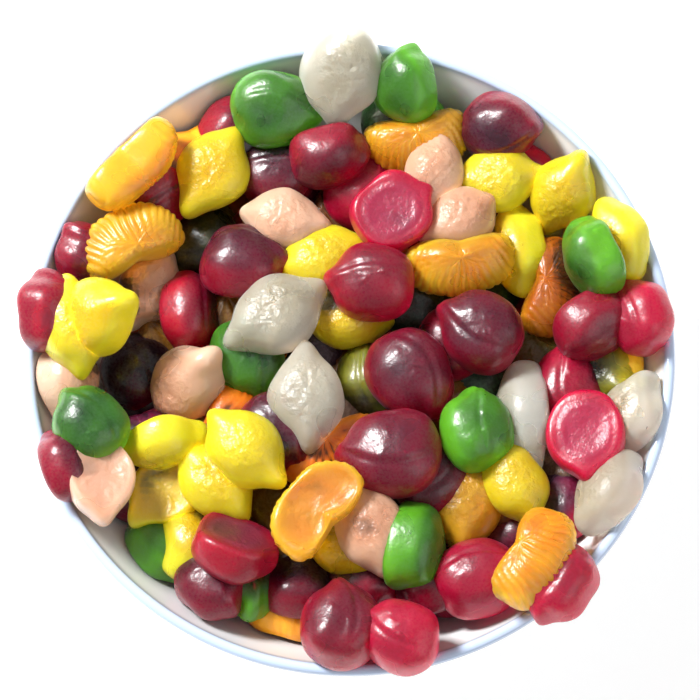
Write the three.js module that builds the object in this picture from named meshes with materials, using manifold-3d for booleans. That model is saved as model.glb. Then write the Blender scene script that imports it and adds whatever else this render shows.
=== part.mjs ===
// A round white bowl, heaped over its rim with soft moulded sweets in three fruit forms: a lemon with a nub
// at each end, a plum with one nub and a ribbed citrus segment. All sizes are millimetres. The origin is the
// middle of the bowl's underside, +Z is up and +Y points away from someone who looks at it over the near rim.
import * as THREE from "three";
import { mergeVertices } from "three/addons/utils/BufferGeometryUtils.js";
import Module from "manifold-3d";

const wasm = await Module();
wasm.setup();

// ---------------------------------------------------------------- the bowl
const RIM_RADIUS = 76;
const BOWL_HEIGHT = 58;
const LIP_RADIUS = 1.3; // the rounded top edge of the wall
const FLOOR_THICKNESS = 7.5; // foot and base together, on the axis
const WALL_AT_LIP = 2.4;
const WALL_AT_FOOT = 4.2;
const FOOT_RADIUS = 29;
const FOOT_EDGE = 0.8; // small bevel where the foot meets the table
const FOOT_HEIGHT = 5.5;
const FOOT_FILLET = 3;
const BOWL_SIDES = 60;
const WALL_STEPS = 11;
const LIP_STEPS = 5;

// The inside is part of a ball, so its radius follows from how wide and how deep it is.
const INNER_RADIUS = RIM_RADIUS - 2 * LIP_RADIUS;
const LIP_HEIGHT = BOWL_HEIGHT - LIP_RADIUS;
const INNER_DEPTH = LIP_HEIGHT - FLOOR_THICKNESS;
const BALL_RADIUS = (INNER_RADIUS ** 2 + INNER_DEPTH ** 2) / (2 * INNER_DEPTH);
const BALL_HEIGHT = FLOOR_THICKNESS + BALL_RADIUS;

// ---------------------------------------------------------------- the sweets
// Each is cast in a mould: a dome over a rounded edge, on a back that sinks in the middle.
const UP = 0; // roll with the dome up
const OVER = 180; // roll with the flat back up
const RIGHT_ANGLE = Math.PI / 2;
const LEMON = {
  height: 11, halfLength: 9.9, outerHalf: 8.5, innerHalf: 8.5, squareness: 2, innerSquareness: 2,
  nub: 2.9, nubWidth: 0.26, nubAngles: [0, Math.PI], hollow: 0, hollowWidth: 1, crown: 0,
};
const PLUM = {
  height: 11.6, halfLength: 9.4, outerHalf: 8.7, innerHalf: 8.7, squareness: 2.3, innerSquareness: 2.3,
  nub: 2, nubWidth: 0.22, nubAngles: [0], hollow: 0, hollowWidth: 1, crown: 0,
};
const SEGMENT = {
  height: 10.4, halfLength: 12.5, outerHalf: 8.6, innerHalf: 6.2, squareness: 2.2, innerSquareness: 3.4,
  nub: 0, nubWidth: 1, nubAngles: [], hollow: 2.6, hollowWidth: 0.8, crown: 1.6,
};
const KINDS = [LEMON, PLUM, SEGMENT];
const EDGE_HEIGHT = 2.8; // where a sweet is widest, above its back
const MIDDLE = 0.42; // the point it turns about, as a share of its height
const NUB_FALL = 2; // a nub is low: how fast it fades towards the top of the dome
const DOME_SPREAD = 0.9;
const DOME_FULLNESS = 0.72;
const BACK_RINGS = [
  { share: 0.985, height: 1.4 },
  { share: 0.93, height: 0.35 },
  { share: 0.84, height: 0 },
  { share: 0.7, height: 0.7 },
  { share: 0.45, height: 1.3 },
  { share: 0, height: 1.5 },
];
const FINE = { around: 48, domeSteps: 9, back: BACK_RINGS };
const COARSE = { around: 10, domeSteps: 2, back: [BACK_RINGS[2], BACK_RINGS[5]] };
const COARSE_SWELL = 1.03; // a few flat sides lie inside a round form, so they go out a little

// ---------------------------------------------------------------- the heap
const HEAP_RISE = 9; // how far the topmost middles lie over the rim, on the axis
const HEAP_FALL = 13; // how much lower they lie at the wall
const HEAP_REACH = 66;
const CORE_SINK = 17; // the solid core's top, under the rim
const CORE_FALL = 9;
const DEEP_FILL = 6; // how far the deepest sweets fill up over the core
const CORE_GAP = 0.5; // free space between core and bowl
const CORE_SIDES = 28;
const CORE_STEPS = 6;
const SWEET_GAP = 0.5; // least free space between a sweet and the bowl
const GAP_REACH = 0.2;
const PRESS_IN = 0.2; // share of a soft sweet's underside that sinks into the ones below
const GROUND_CELL = 1.5;
const GROUND_HALF = 84;
const GROUND_COUNT = Math.round((2 * GROUND_HALF) / GROUND_CELL);
const NOWHERE = -50;
const SETTLE_ROUNDS = 4;
const DEEPEST = 13; // sweets of this layer shape the ones above them, but are left to the core

// The layout is written as it is seen: from over the near rim, tilted a little from straight down.
const VIEW_TILT = THREE.MathUtils.degToRad(14);
const VIEW_DISTANCE = 800;
const EYE = new THREE.Vector3(
  0,
  -VIEW_DISTANCE * Math.sin(VIEW_TILT),
  BOWL_HEIGHT + VIEW_DISTANCE * Math.cos(VIEW_TILT),
);

// Every row is one sweet: kind, millimetres across and away from the axis as seen in the rim's plane,
// heading of its long axis (0 is across, anticlockwise), roll, lean against the wall, rise of its nub, size.
// 'under' is how far below the heap's outline its middle stays.
const LAYERS = [
  { under: DEEPEST, sweets: [ // only parts of these show, deep in the gaps
    [SEGMENT, -36, 48, 20, UP, 45, 0, 1],
    [PLUM, 12, 54, 20, UP, 45, 0, 1],
    [PLUM, 41, 43, -30, UP, 45, 0, 0.75],
    [SEGMENT, -27, 12, 80, UP, 0, 0, 1],
    [PLUM, -14, 41, 100, UP, 0, 0, 1],
    [SEGMENT, -5, 32, 60, UP, 0, 0, 1],
    [PLUM, -12, 21, 0, UP, 0, 0, 1],
    [PLUM, 29, -6, 20, UP, 0, 0, 1],
    [SEGMENT, 60, -6, 80, UP, 48, 0, 1],
    [LEMON, 51, -28, 10, UP, 40, 0, 1],
    [PLUM, 49, -36, 80, UP, 48, 0, 1],
    [PLUM, 38, -42, 40, UP, 40, 0, 1],
    [SEGMENT, 38, -36, 0, UP, 0, 0, 1],
    [SEGMENT, 22, -14, 110, UP, 0, 0, 1],
    [LEMON, -3, -19, 60, UP, 0, 0, 1],
    [SEGMENT, -5, -23, 20, UP, 0, 0, 1],
    [PLUM, -26, -12, 20, UP, 0, 0, 1],
    [SEGMENT, -30, -19, 60, UP, 0, 0, 1],
    [SEGMENT, -45, 6, 100, UP, 0, 0, 1],
    [PLUM, -50, -31, 80, UP, 45, 0, 1],
    [PLUM, -47, -24, 80, UP, 0, 0, 1],
    [SEGMENT, -12, -61, -8, UP, 50, 0, 0.95],
    [PLUM, 26, -54, 10, UP, 48, 0, 1],
    [SEGMENT, 0, -50, 150, UP, 0, 0, 1],
  ] },
  { under: 9, sweets: [ // low in the heap or against the wall
    [PLUM, 24, 2, 60, UP, 0, 0, 1],
    [PLUM, 3, -54, 30, UP, 30, 0, 1],
    [PLUM, 18, -53, 100, UP, 45, 0, 1],
    [PLUM, -27, 52, 60, UP, 45, 0, 1],
    [PLUM, -61.5, 22.5, 130, UP, 58, 0, 0.82],
    [PLUM, -45, 38, 30, UP, 40, 0, 1],
    [PLUM, -34, 26, 200, UP, 0, 0, 1],
    [PLUM, 3, 39, 60, UP, 0, 0, 1],
    [LEMON, -6, 22, 20, UP, 0, 0, 1],
    [PLUM, 15, 11, 160, UP, 0, 0, 1],
    [LEMON, 44, -2, -20, UP, 0, 0, 1],
    [PLUM, 51, -9, 90, UP, 0, 0, 1],
    [LEMON, 58, -4, -40, UP, 45, 0, 1],
    [LEMON, 27, -36, 85, UP, 0, 0, 1],
    [PLUM, 19, -30, 40, UP, 0, 0, 1],
    [PLUM, 5, -8, 100, UP, 0, 0, 1],
    [PLUM, -17, -19, -50, UP, 0, 0, 1],
    [LEMON, -65, -7, 95, UP, 55, 0, 0.93],
    [PLUM, -43, -45, -60, UP, 48, 0, 0.9],
    [PLUM, -32, -54, -62, 40, 48, 0, 0.9],
    [PLUM, -23, -54, -90, UP, 45, 0, 0.95],
    [LEMON, -36, -45, -75, UP, 40, 0, 1],
    [SEGMENT, -15, -43, 120, UP, 0, 0, 1],
    [LEMON, 0, -45, -20, UP, 0, 0, 1],
    [PLUM, -69.5, 9, 100, UP, 62, 0, 0.95],
    [PLUM, -64.5, -27, 112, UP, 62, 0, 0.85],
    [PLUM, -17, 44, 0, UP, 0, 0, 1],
    [PLUM, 35, 54, 0, UP, 42, 0, 0.95],
    [LEMON, 63, 27, 110, UP, 50, 0, 0.85],
    [LEMON, 56, 21, 105, -50, 30, 0, 0.95],
    [SEGMENT, 47, 16, 80, UP, 0, 0, 0.95],
    [LEMON, -47, 15, 62, UP, 0, 0, 0.88],
    [PLUM, -49, -5, 120, UP, 0, 0, 1],
    [LEMON, 65, -15, 58, UP, 55, 0, 0.88],
    [LEMON, 59.5, -33, 55, UP, 50, 0, 0.9],
    [LEMON, -42, -33, 228, OVER, 0, 0, 0.95],
    [PLUM, -11.5, -55, 90, UP, 45, 0, 0.95],
  ] },
  { under: 4, sweets: [ // most of these show
    [SEGMENT, 16, 52, 12, 20, 0, 0, 1],
    [LEMON, 35, 42, 5, UP, 10, 0, 0.95],
    [PLUM, -18, 59, -8, UP, 15, 0, 1.08],
    [LEMON, -1.5, 68.5, 82, UP, 25, 0, 1.15],
    [PLUM, 13, 65, 88, -40, 30, 0, 0.92],
    [PLUM, 67.5, 8, 110, UP, 50, 0, 0.92],
    [SEGMENT, -51, 45.5, 47, 80, 15, 0, 1.04],
    [LEMON, -15, 32, -12, UP, 0, 0, 0.88],
    [PLUM, -37, 9, 95, 60, 0, 0, 0.93],
    [PLUM, -25, 22, -2, -40, 0, 0, 1.05],
    [LEMON, -1, 9, -8, UP, 0, 0, 0.95],
    [PLUM, -24, -1, -68, UP, 0, 0, 1],
    [LEMON, -43, -22, 12, 80, 0, 0, 0.85],
    [LEMON, 38, -31, -62, UP, 0, 0, 0.9],
    [PLUM, 48, -54, -120, UP, 30, 0, 0.95],
    [PLUM, 15, -47, 82, 75, 0, 0, 1.03],
    [PLUM, 12, -66.5, 150, UP, 12, 0, 0.97],
    [LEMON, -31, -31, -50, UP, 0, 0, 0.92],
    [LEMON, 5, -42, -66, UP, 0, 0, 0.97],
    [LEMON, -32, 44, 59, UP, 0, 0, 1.02],
    [PLUM, -5, 47, 13, 70, 0, 0, 0.95],
    [LEMON, 20, 44, 80, UP, 0, 0, 0.85],
    [LEMON, 50, 38, 60, UP, 0, 40, 0.9],
    [LEMON, 26, 32, 30, UP, 0, 0, 0.85],
    [PLUM, 10, 33, 33, OVER, 0, 0, 1.03],
    [LEMON, 39, 23, 97, -60, 0, 0, 0.93],
    [PLUM, 31, 5, 150, UP, 0, 0, 1.06],
    [LEMON, -38, -8, 40, UP, 0, 50, 1],
    [PLUM, 10, -24, 182, UP, 0, 0, 1.2],
    [LEMON, 40, -16, 90, -80, 0, 0, 1.08],
  ] },
  { under: 0, sweets: [ // on top of the others
    [PLUM, -27, -47, -20, 130, 0, 0, 1],
    [SEGMENT, 26, 22, 9, 25, 0, 0, 1.02],
    [PLUM, 6, 17, 175, UP, 0, 0, 1.06],
    [LEMON, -17, 9, 32, UP, 0, 0, 1.07],
    [PLUM, 14, -5, -55, UP, 0, 0, 1.12],
    [LEMON, -10, -11, 92, UP, 0, 0, 1.07],
    [PLUM, 30, -19, 97, 25, 0, 0, 0.96],
    [PLUM, 55, -20, -88, OVER, 10, 0, 1.05],
    [LEMON, -24, -23, -44, UP, 0, 0, 0.98],
    [SEGMENT, -7, -38, 50, OVER, 0, 0, 1.02],
    [PLUM, 29, -53, 15, UP, 16, 0, 1.04],
    [PLUM, -2, -64, 93, UP, 20, 0, 1.05],
    [PLUM, 57, 6, 35, 70, 0, 0, 1],
    [SEGMENT, -51, 26, 206, UP, 10, 0, 1.03],
  ] },
  { under: -7, sweets: [ // piled up against the rim, over their neighbours
    [LEMON, -64, 6, 101, UP, 25, 0, 1],
    [LEMON, -59.5, 8, 15, UP, 0, 52, 1.05],
    [PLUM, 57, 22, 110, -60, 20, 0, 0.95],
    [LEMON, -57.5, -30, 95, OVER, 12, 0, 0.95],
    [PLUM, -60, -17.5, 128, UP, 12, 0, 0.96],
  ] },
  { under: -10, sweets: [ // on top of the sweets at the rim
    [SEGMENT, 42, -48.5, 62, UP, 24, 0, 1],
  ] },
];

const TO_RADIANS = Math.PI / 180;

// How far a ring lies from the middle of a sweet in one direction; share is 1 at the edge, 0 at the top.
function ringRadius(kind, angle, share) {
  const along = Math.cos(angle);
  const aside = Math.sin(angle);
  const half = aside < 0 ? kind.outerHalf : kind.innerHalf;
  const power = aside < 0 ? kind.squareness : kind.innerSquareness;
  const sum = Math.abs(along / kind.halfLength) ** power + Math.abs(aside / half) ** power;
  let radius = sum ** (-1 / power);
  for (const nubAngle of kind.nubAngles) {
    const off = Math.atan2(Math.sin(angle - nubAngle), Math.cos(angle - nubAngle));
    radius += kind.nub * share ** NUB_FALL * Math.exp(-((off / kind.nubWidth) ** 2));
  }
  const fromInner = Math.atan2(along, aside);
  const hollow = aside > 0 ? kind.hollow * Math.exp(-((fromInner / kind.hollowWidth) ** 2)) : 0;
  return share * (radius - hollow);
}

// The rings of one sweet from the top of its dome, over the edge, to the middle of its back.
function ringsOf(kind, detail, swell) {
  const rings = [];
  const bottom = kind.height * MIDDLE;
  const addRing = (share, height, shift) => {
    const ring = [];
    for (let i = 0; i < detail.around; i++) {
      const angle = (i / detail.around) * 2 * Math.PI;
      const radius = swell * ringRadius(kind, angle, share);
      ring.push(new THREE.Vector3(
        radius * Math.cos(angle), radius * Math.sin(angle) + shift, height - bottom));
    }
    rings.push(ring);
  };
  for (let step = 0; step <= detail.domeSteps; step++) {
    const turn = (step / detail.domeSteps) * RIGHT_ANGLE;
    const share = Math.sin(turn) ** DOME_SPREAD;
    const rise = Math.max(Math.cos(turn), 0) ** DOME_FULLNESS;
    addRing(share, EDGE_HEIGHT + (kind.height - EDGE_HEIGHT) * rise, kind.crown * (1 - share));
  }
  for (const ring of detail.back) {
    addRing(ring.share, ring.height, 0);
  }
  return rings;
}

// A closed mesh through the rings; the first and last ring are single points.
function closedGeometry(rings) {
  const around = rings[0].length;
  const positions = [];
  const face = (a, b, c) => positions.push(...a, ...b, ...c);
  for (let k = 0; k + 1 < rings.length; k++) {
    for (let i = 0; i < around; i++) {
      const next = (i + 1) % around;
      if (k > 0) {
        face(rings[k][i], rings[k + 1][i], rings[k][next]);
      }
      if (k + 2 < rings.length) {
        face(rings[k][next], rings[k + 1][i], rings[k + 1][next]);
      }
    }
  }
  const geometry = new THREE.BufferGeometry();
  geometry.setAttribute("position", new THREE.Float32BufferAttribute(positions, 3));
  return geometry;
}

// The inside height of the bowl, the top of its lip, or nothing at all, at a distance from the axis.
function bowlHeight(radius) {
  if (radius > RIM_RADIUS) {
    return NOWHERE;
  }
  if (radius > INNER_RADIUS) {
    const off = radius - (RIM_RADIUS - LIP_RADIUS);
    return LIP_HEIGHT + Math.sqrt(Math.max(LIP_RADIUS ** 2 - off ** 2, 0));
  }
  return BALL_HEIGHT - Math.sqrt(BALL_RADIUS ** 2 - radius ** 2);
}

function coreHeight(radius) {
  return BOWL_HEIGHT - CORE_SINK - CORE_FALL * (radius / HEAP_REACH) ** 2;
}

function outlineHeight(x, y, under) {
  return BOWL_HEIGHT + HEAP_RISE - HEAP_FALL * ((x * x + y * y) / HEAP_REACH ** 2) - under;
}

const cellOf = (value) =>
  Math.min(Math.max(Math.floor((value + GROUND_HALF) / GROUND_CELL), 0), GROUND_COUNT - 1);

// The ground holds the height reached so far over each small square: bowl, core, then every sweet.
const ground = new Float64Array(GROUND_COUNT * GROUND_COUNT);
for (let i = 0; i < GROUND_COUNT; i++) {
  for (let j = 0; j < GROUND_COUNT; j++) {
    const x = (i + 0.5) * GROUND_CELL - GROUND_HALF;
    const y = (j + 0.5) * GROUND_CELL - GROUND_HALF;
    const radius = Math.hypot(x, y);
    const bowl = radius < INNER_RADIUS ? bowlHeight(radius) : NOWHERE;
    ground[i * GROUND_COUNT + j] = Math.max(coreHeight(radius), bowl);
  }
}
const groundIndex = (x, y) => cellOf(x) * GROUND_COUNT + cellOf(y);

// Where the middle of a sweet comes to rest over (x, y): it presses a little into soft neighbours,
// never rises past the heap's outline, and always clears the bowl.
function restHeight(points, x, y, under) {
  const needs = [];
  let clear = NOWHERE;
  for (const p of points) {
    needs.push(ground[groundIndex(p.x + x, p.y + y)] - p.z);
    const radius = Math.hypot(p.x + x, p.y + y);
    clear = Math.max(clear, bowlHeight(radius + GAP_REACH) - p.z + SWEET_GAP);
  }
  needs.sort((a, b) => a - b);
  const soft = needs[Math.floor(needs.length * (1 - PRESS_IN))];
  return Math.max(Math.min(soft, outlineHeight(x, y, under)), clear);
}

// The turn of one sweet: roll about its length, rise of the nub, heading, then lean against the wall.
function turnOf(across, away, heading, roll, lean, rise) {
  const turn = new THREE.Matrix4().makeRotationZ(heading * TO_RADIANS);
  turn.multiply(new THREE.Matrix4().makeRotationY(-rise * TO_RADIANS));
  turn.multiply(new THREE.Matrix4().makeRotationX(roll * TO_RADIANS));
  const tangent = new THREE.Vector3(away, -across, 0).normalize();
  return turn.premultiply(new THREE.Matrix4().makeRotationAxis(tangent, lean * TO_RADIANS));
}

// A sweet slides along the line of sight while it drops, so it stays where it is seen.
function place(row, under) {
  const [kind, across, away, heading, roll, lean, rise, size] = row;
  const matrix = turnOf(across, away, heading, roll, lean, rise);
  matrix.scale(new THREE.Vector3(size, size, size));
  const points = ringsOf(kind, FINE, 1).flat().map((p) => p.applyMatrix4(matrix));
  let x = across;
  let y = away;
  let z = BOWL_HEIGHT;
  for (let round = 0; round < SETTLE_ROUNDS; round++) {
    const reach = (EYE.z - z) / (EYE.z - BOWL_HEIGHT);
    x = EYE.x + (across - EYE.x) * reach;
    y = EYE.y + (away - EYE.y) * reach;
    z = restHeight(points, x, y, under);
  }
  for (const p of points) {
    const index = groundIndex(p.x + x, p.y + y);
    ground[index] = Math.max(ground[index], p.z + z);
  }
  return matrix.setPosition(x, y, z);
}

// ---------------------------------------------------------------- solids
function solidOf(geometry) {
  const bare = geometry.index ? geometry.toNonIndexed() : geometry;
  bare.deleteAttribute("normal");
  bare.deleteAttribute("uv");
  const merged = mergeVertices(bare, 1e-4);
  return new wasm.Manifold(new wasm.Mesh({
    numProp: 3,
    vertProperties: merged.attributes.position.array,
    triVerts: new Uint32Array(merged.index.array),
  }));
}

function geometryOf(solid) {
  const mesh = solid.getMesh();
  const geometry = new THREE.BufferGeometry();
  geometry.setAttribute("position", new THREE.BufferAttribute(new Float32Array(mesh.vertProperties), 3));
  geometry.setIndex(new THREE.BufferAttribute(new Uint32Array(mesh.triVerts), 1));
  return geometry;
}

// A profile of [radius, height] pairs, turned about the upright axis.
function turned(profile, sides) {
  const points = profile.map(([radius, height]) => new THREE.Vector2(radius, height));
  return new THREE.LatheGeometry(points, sides).rotateX(RIGHT_ANGLE);
}

// A point of the ball that shapes the inside, grown outwards, at an angle from straight down.
function onBall(grow, angle) {
  const radius = BALL_RADIUS + grow;
  return [radius * Math.sin(angle), BALL_HEIGHT - radius * Math.cos(angle)];
}

function bowlProfile() {
  const lipAngle = Math.asin(INNER_RADIUS / BALL_RADIUS);
  const filletAngle = Math.asin((FOOT_RADIUS + FOOT_FILLET) / (BALL_RADIUS + WALL_AT_FOOT));
  const profile = [
    [0, 0],
    [FOOT_RADIUS - FOOT_EDGE, 0],
    [FOOT_RADIUS, FOOT_EDGE],
    [FOOT_RADIUS, FOOT_HEIGHT],
  ];
  for (let step = 0; step < WALL_STEPS; step++) {
    const share = step / WALL_STEPS;
    const wall = WALL_AT_FOOT + (WALL_AT_LIP - WALL_AT_FOOT) * share;
    profile.push(onBall(wall, filletAngle + (lipAngle - filletAngle) * share));
  }
  for (let step = 0; step <= LIP_STEPS; step++) {
    const turn = (step / LIP_STEPS) * Math.PI;
    profile.push([
      RIM_RADIUS - LIP_RADIUS + LIP_RADIUS * Math.cos(turn),
      LIP_HEIGHT + LIP_RADIUS * Math.sin(turn),
    ]);
  }
  for (let step = 1; step < WALL_STEPS; step++) {
    profile.push(onBall(0, lipAngle * (1 - step / WALL_STEPS)));
  }
  profile.push([0, FLOOR_THICKNESS]);
  return profile;
}

// The core and the deepest sweets, as one low dome that fills the bowl to where its top meets the wall.
function coreProfile() {
  let edge = INNER_RADIUS;
  while (bowlHeight(edge) > coreHeight(edge) + DEEP_FILL) {
    edge -= CORE_GAP;
  }
  const edgeAngle = Math.asin(edge / BALL_RADIUS);
  const profile = [];
  for (let step = 0; step <= CORE_STEPS; step++) {
    profile.push(onBall(-CORE_GAP, edgeAngle * (step / CORE_STEPS)));
  }
  for (let step = 1; step <= CORE_STEPS; step++) {
    const radius = edge * (1 - step / CORE_STEPS);
    profile.push([radius, coreHeight(radius) + DEEP_FILL]);
  }
  profile[0][0] = 0;
  return profile;
}

const coarseForms = new Map();
for (const kind of KINDS) {
  coarseForms.set(kind, solidOf(closedGeometry(ringsOf(kind, COARSE, COARSE_SWELL))));
}

let heap = solidOf(turned(coreProfile(), CORE_SIDES));
for (const layer of LAYERS) {
  for (const row of layer.sweets) {
    const matrix = place(row, layer.under);
    if (layer.under < DEEPEST) {
      heap = heap.add(coarseForms.get(row[0]).transform(matrix.elements));
    }
  }
}
// Sealed hollows inside the heap are filled and loose scraps are dropped: only the outer skin stays.
const parts = heap.decompose();
parts.sort((a, b) => b.volume() - a.volume());
const heapSolid = parts[0];

const GLAZE_COLOUR = 0xf4f5f7;
const HEAP_COLOUR = 0xc23a2a;
const glaze = new THREE.MeshStandardMaterial({ color: GLAZE_COLOUR, roughness: 0.2 });
const gel = new THREE.MeshStandardMaterial({ color: HEAP_COLOUR, roughness: 0.35 });

const bowl = new THREE.Mesh(turned(bowlProfile(), BOWL_SIDES), glaze);
bowl.name = "bowl";
const gummyHeap = new THREE.Mesh(geometryOf(heapSolid), gel);
gummyHeap.name = "gummy_heap";

const group = new THREE.Group();
group.add(bowl, gummyHeap);
export default group;
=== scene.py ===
# %% [markdown]
# # A bowl heaped with fruit gummies
# The object is a small white bowl, filled over its rim with soft moulded sweets: lemons with a nub at each
# end, plums with one nub, and ribbed citrus segments. The frame holds two plain solids, the bowl and the
# heap as one lump. This lesson dresses both: a finely turned, glazed bowl, and every sweet as its own form.

# %% Load the frame and keep its size
import math
import bpy
import numpy as np
from mathutils import Matrix, Vector


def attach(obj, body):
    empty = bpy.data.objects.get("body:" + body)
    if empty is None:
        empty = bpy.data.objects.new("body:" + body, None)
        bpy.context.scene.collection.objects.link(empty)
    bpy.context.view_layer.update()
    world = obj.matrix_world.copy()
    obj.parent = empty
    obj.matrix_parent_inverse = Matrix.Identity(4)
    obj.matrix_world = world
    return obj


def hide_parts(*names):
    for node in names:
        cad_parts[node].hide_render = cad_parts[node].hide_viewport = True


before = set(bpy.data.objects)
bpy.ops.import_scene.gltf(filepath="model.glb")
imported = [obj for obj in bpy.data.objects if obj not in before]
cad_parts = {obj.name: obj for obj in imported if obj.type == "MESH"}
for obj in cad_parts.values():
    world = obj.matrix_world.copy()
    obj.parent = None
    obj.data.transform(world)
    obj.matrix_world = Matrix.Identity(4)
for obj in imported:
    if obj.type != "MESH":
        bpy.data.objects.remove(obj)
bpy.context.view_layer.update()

MM = 0.001  # everything below is thought of in millimetres, as on a drawing

# %% [markdown]
# ## The bowl's measures
# A bowl like this is thrown or pressed so that its inside is part of a ball. Two measures fix that ball: how
# wide the mouth is and how deep the inside goes. They come first, because the camera looks at the rim and
# every sweet has to stay clear of the wall.

# %% Bowl measures
RIM_RADIUS = 76.0
BOWL_HEIGHT = 58.0
LIP_RADIUS = 1.3
FLOOR_THICKNESS = 7.5
WALL_AT_LIP = 2.4
WALL_AT_FOOT = 4.2
FOOT_RADIUS = 29.0
FOOT_EDGE = 0.8
FOOT_HEIGHT = 5.5
FOOT_FILLET = 3.0

INNER_RADIUS = RIM_RADIUS - 2 * LIP_RADIUS
LIP_HEIGHT = BOWL_HEIGHT - LIP_RADIUS
INNER_DEPTH = LIP_HEIGHT - FLOOR_THICKNESS
BALL_RADIUS = (INNER_RADIUS ** 2 + INNER_DEPTH ** 2) / (2 * INNER_DEPTH)
BALL_HEIGHT = FLOOR_THICKNESS + BALL_RADIUS
print("the inside is part of a ball of radius", round(BALL_RADIUS, 1), "mm")

# %% [markdown]
# ## The camera
# The rim is seen as an ellipse that is nearly round: 653 picture points wide and 633 high in a picture of
# 700. Its shape gives the tilt, about 14 degrees from straight down, and its width gives the lens. A long
# lens from 0.8 m keeps the near and far sweets about the same size, as in a product picture.

# %% Camera over the near rim
PICTURE = 700.0
RIM_HALF_WIDTH = 326.4  # picture points
RIM_MIDDLE = (349.2, 351.2)  # picture points from the left and from the top
VIEW_TILT = math.radians(14.0)
VIEW_DISTANCE = 800.0
SENSOR = 36.0

rim_middle = np.array([0.0, 0.0, BOWL_HEIGHT])
sight = np.array([0.0, math.sin(VIEW_TILT), -math.cos(VIEW_TILT)])
upwards = np.array([0.0, math.cos(VIEW_TILT), math.sin(VIEW_TILT)])
EYE = rim_middle - sight * VIEW_DISTANCE

focal_points = RIM_HALF_WIDTH * VIEW_DISTANCE / RIM_RADIUS
mm_per_point = VIEW_DISTANCE / focal_points
aim_right = (PICTURE / 2 - RIM_MIDDLE[0]) * mm_per_point
aim_up = (RIM_MIDDLE[1] - PICTURE / 2) * mm_per_point

camera_data = bpy.data.cameras.new("view_over_rim")
camera_data.sensor_width = SENSOR
camera_data.lens = focal_points / PICTURE * SENSOR
camera = bpy.data.objects.new("view_over_rim", camera_data)
bpy.context.scene.collection.objects.link(camera)
camera.location = Vector(EYE + upwards * aim_up + np.array([aim_right, 0, 0])) * MM
camera.rotation_euler = (VIEW_TILT, 0.0, 0.0)
camera_data.clip_start = 0.05
camera_data.clip_end = 20.0
bpy.context.scene.camera = camera
print("lens", round(camera_data.lens, 1), "mm, one picture point is", round(mm_per_point, 4), "mm")

# %% [markdown]
# ## Light and floor
# The sweets shine at their upper left, their gaps are dark, and light glows out of their lower right edges.
# One soft lamp at the upper left gives the shine, and a broad weak one opposite keeps the shadows from
# going black, under an even surround. The glow and much of the dark are painted into the sweets' colour
# further down. The floor is a plain pale sheet that glows a little, so the bowl's own shadow on it stays
# faint, as in a product picture.

# %% Studio
KEY_PLACE = (-0.55, 0.42, 0.75)
KEY_SIZE = 0.26
KEY_POWER = 24.0
FILL_PLACE = (0.6, -0.35, 0.6)
FILL_SIZE = 0.7
FILL_POWER = 2.2
SURROUND = 0.55
FLOOR_GLOW = 0.32
FLOOR_PALE = 0.86
FLOOR_ROUGHNESS = 0.9
AIM = (0.0, 0.0, 0.05)


def soft_lamp(name, place, size, power):
    lamp_data = bpy.data.lights.new(name, "AREA")
    lamp_data.shape = "SQUARE"
    lamp_data.size = size
    lamp_data.energy = power
    lamp = bpy.data.objects.new(name, lamp_data)
    bpy.context.scene.collection.objects.link(lamp)
    lamp.location = place
    aim = Vector(AIM) - Vector(place)
    lamp.rotation_euler = aim.to_track_quat("-Z", "Y").to_euler()
    return lamp


soft_lamp("key_upper_left", KEY_PLACE, KEY_SIZE, KEY_POWER)
soft_lamp("fill_lower_right", FILL_PLACE, FILL_SIZE, FILL_POWER)

world = bpy.data.worlds.new("even_surround")
bpy.context.scene.world = world
world.use_nodes = True
world.node_tree.nodes["Background"].inputs["Color"].default_value = (1.0, 1.0, 1.0, 1.0)
world.node_tree.nodes["Background"].inputs["Strength"].default_value = SURROUND
bpy.context.scene.view_settings.view_transform = "Standard"

FLOOR_HALF = 1.6
floor_mesh = bpy.data.meshes.new("floor")
floor_mesh.from_pydata(
    [(-FLOOR_HALF, -FLOOR_HALF, 0), (FLOOR_HALF, -FLOOR_HALF, 0),
     (FLOOR_HALF, FLOOR_HALF, 0), (-FLOOR_HALF, FLOOR_HALF, 0)], [], [(0, 1, 2, 3)])
floor = bpy.data.objects.new("floor", floor_mesh)
bpy.context.scene.collection.objects.link(floor)
floor_paint = bpy.data.materials.new("pale_floor")
floor_paint.use_nodes = True
floor_shader = floor_paint.node_tree.nodes["Principled BSDF"]
floor_shader.inputs["Base Color"].default_value = (FLOOR_PALE, FLOOR_PALE, FLOOR_PALE, 1.0)
floor_shader.inputs["Roughness"].default_value = FLOOR_ROUGHNESS
floor_shader.inputs["Emission Color"].default_value = (1.0, 1.0, 1.0, 1.0)
floor_shader.inputs["Emission Strength"].default_value = FLOOR_GLOW
floor_mesh.materials.append(floor_paint)
print("two lamps, an even surround of", SURROUND, "and a floor", 2 * FLOOR_HALF, "m wide")

# %% [markdown]
# ## Small helpers for node materials
# Every finish below is a short chain of nodes on one main shader. These helpers add a node and set its
# plain values, so each recipe reads as a list of what the finish is made of.


# %% Node helpers
def new_finish(name):
    finish = bpy.data.materials.new(name)
    finish.use_nodes = True
    nodes = finish.node_tree.nodes
    return finish, nodes, finish.node_tree.links, nodes["Principled BSDF"]


def add_node(nodes, kind, **values):
    node = nodes.new(kind)
    for name, value in values.items():
        if name in node.inputs.keys():
            node.inputs[name].default_value = value
        else:
            setattr(node, name, value)
    return node


def ramp(nodes, stops):
    node = nodes.new("ShaderNodeValToRGB")
    marks = node.color_ramp.elements
    while len(marks) < len(stops):
        marks.new(0.5)
    for mark, (place, colour) in zip(marks, stops):
        mark.position = place
        mark.color = (*colour, 1.0)
    return node


def plain(value):
    """A printed colour of 0 to 255 as the light values that a shader wants."""
    return tuple(((c / 255 + 0.055) / 1.055) ** 2.4 if c > 10 else c / 255 / 12.92 for c in value)


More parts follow.
